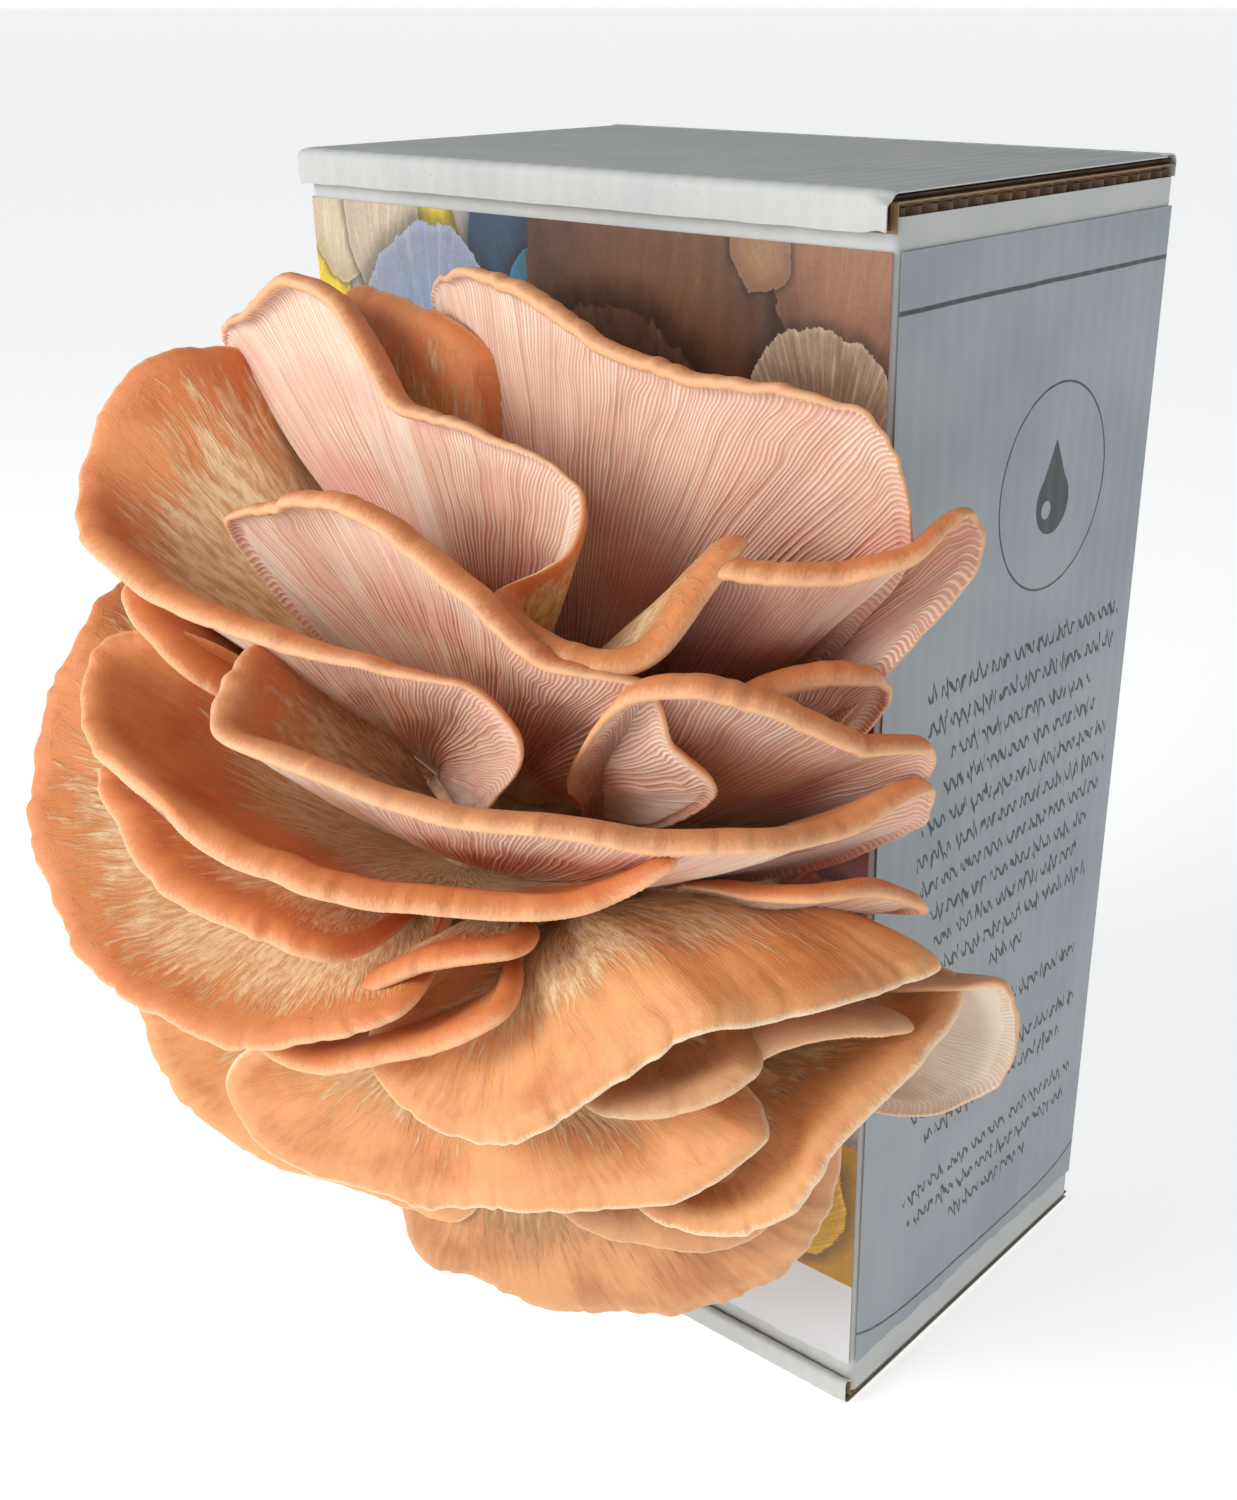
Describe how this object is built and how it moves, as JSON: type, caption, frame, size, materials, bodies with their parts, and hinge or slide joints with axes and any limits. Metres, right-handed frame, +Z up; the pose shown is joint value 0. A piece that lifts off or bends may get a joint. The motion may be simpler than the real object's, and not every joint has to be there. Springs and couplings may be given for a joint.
{
  "type": "mushroom grow kit",
  "caption": "Corrugated board carton with a hinged lid, holding a bagged growing block, with a ruffled cluster of orange and pink oyster mushrooms growing from its front window.",
  "frame": {"origin": "centre of the carton's base panel, on the surface that it stands on", "axes": "+Z up, front with the window and the mushrooms towards -Y, +X to the right seen from the front"},
  "size_m": [0.2753, 0.2581, 0.344],
  "materials": {
    "board": "matt",
    "colour_print": "satin print",
    "grey_print": "satin print",
    "block": "rough",
    "film": "glossy film",
    "mushroom": "soft matt"
  },
  "bodies": {
    "kit": {"carton_body": "board", "carton_base": "board", "front_label": "colour_print", "side_label_right": "grey_print", "side_label_left": "grey_print", "growing_block": "block", "bag_top": "film", "cluster_butt": "mushroom", "mushroom_front_right": "mushroom", "mushroom_left_funnel": "mushroom", "mushroom_top_right": "mushroom", "mushroom_top_left": "mushroom", "mushroom_middle_shelf": "mushroom", "mushroom_left_outer": "mushroom", "mushroom_long_shelf": "mushroom", "mushroom_upper_middle": "mushroom", "mushroom_front_lower": "mushroom", "mushroom_bottom": "mushroom", "mushroom_lower_right": "mushroom", "mushroom_left_lower": "mushroom", "mushroom_right_shelf": "mushroom", "mushroom_right_tip": "mushroom", "mushroom_left_inner": "mushroom", "mushroom_left_fold": "mushroom", "mushroom_top_back": "mushroom", "mushroom_right_frill": "mushroom", "mushroom_right_collar": "mushroom", "mushroom_far_right": "mushroom", "mushroom_right_under": "mushroom", "mushroom_middle_tongue": "mushroom", "mushroom_middle_lip": "mushroom", "mushroom_small_cup": "mushroom", "mushroom_bottom_lip": "mushroom"},
    "lid": {"carton_lid": "board"}
  },
  "joints": [
    {"name": "lid_hinge", "type": "hinge", "parent": "kit", "child": "lid", "pos_m": [0, 0.066, 0.341], "axis": [-1, 0, 0], "range_deg": [0, 110]}
  ]
}
